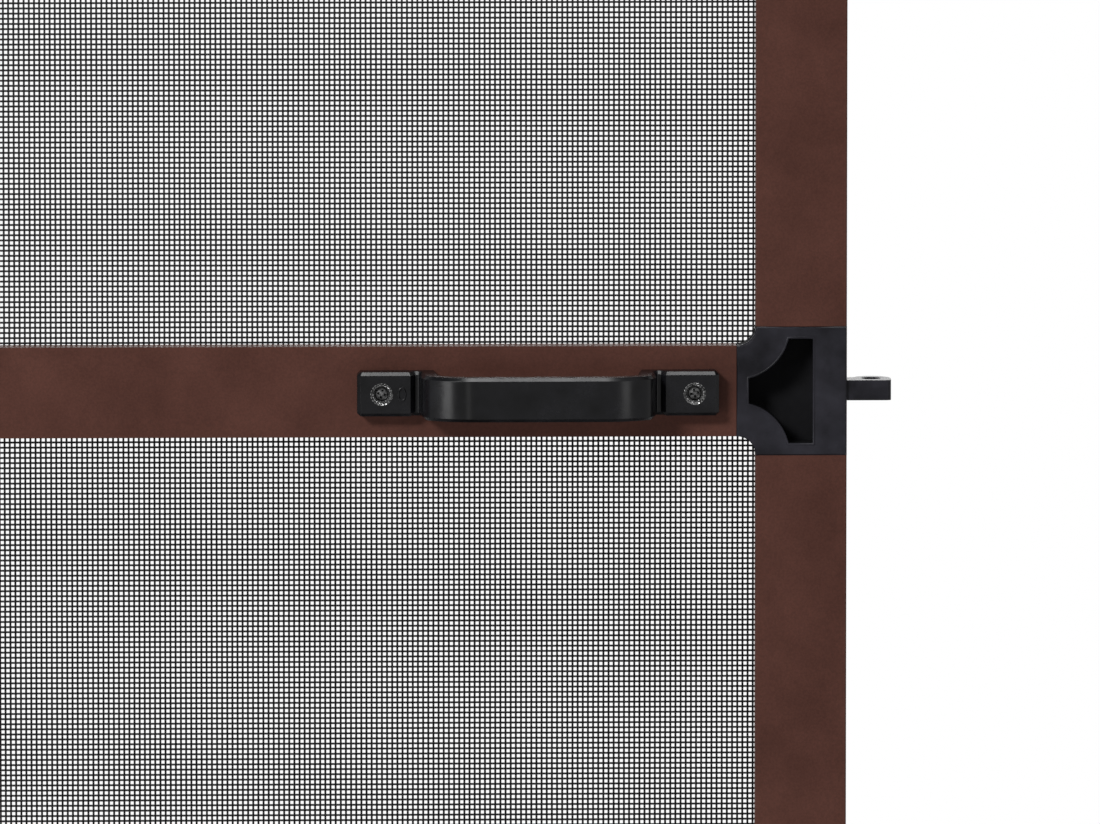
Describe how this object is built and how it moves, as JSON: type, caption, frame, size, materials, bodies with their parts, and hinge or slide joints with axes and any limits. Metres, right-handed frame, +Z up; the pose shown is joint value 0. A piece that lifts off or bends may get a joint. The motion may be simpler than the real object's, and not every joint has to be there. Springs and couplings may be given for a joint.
{
  "type": "hinged insect screen door",
  "caption": "Hinged insect screen door: brown aluminium profile frame with moulded black connectors, dark mesh panels, middle rail with bow handles and lugs that hang on wall brackets.",
  "frame": {"origin": "middle of the lowest wall bracket's flat mounting face", "axes": "+Z up, +Y into the wall that the brackets are screwed to, +X from the hinges to the handle"},
  "size_m": [1.0514, 0.063, 2.168],
  "materials": {
    "profile_aluminium": "dark brown powder coat, satin",
    "connector_plastic": "black moulded plastic, soft sheen",
    "handle_plastic": "black moulded plastic, glossy",
    "screw_steel": "dull, darkened steel",
    "insect_mesh": "black coated glass-fibre mesh",
    "mesh_cord": "black, matt"
  },
  "bodies": {
    "brackets": {"bracket_bottom": "connector_plastic", "bracket_middle": "connector_plastic", "bracket_top": "connector_plastic"},
    "leaf": {"corner_left_bottom": "connector_plastic", "corner_left_top": "connector_plastic", "corner_right_bottom": "connector_plastic", "corner_right_top": "connector_plastic", "handle_back": "handle_plastic", "handle_front": "handle_plastic", "handle_screw_back_left": "screw_steel", "handle_screw_back_right": "screw_steel", "handle_screw_front_left": "screw_steel", "handle_screw_front_right": "screw_steel", "mesh_cord_lower": "mesh_cord", "mesh_cord_upper": "mesh_cord", "mesh_lower": "insect_mesh", "mesh_upper": "insect_mesh", "rail_bottom": "profile_aluminium", "rail_middle": "profile_aluminium", "rail_top": "profile_aluminium", "stile_left_lower": "profile_aluminium", "stile_left_upper": "profile_aluminium", "stile_right_lower": "profile_aluminium", "stile_right_upper": "profile_aluminium", "tee_left": "connector_plastic", "tee_right": "connector_plastic"}
  },
  "joints": [
    {"name": "leaf_swing", "type": "hinge", "parent": "brackets", "child": "leaf", "pos_m": [0.015, -0.016, 0.0074], "axis": [0, 0, -1], "range_deg": [0, 110]}
  ]
}
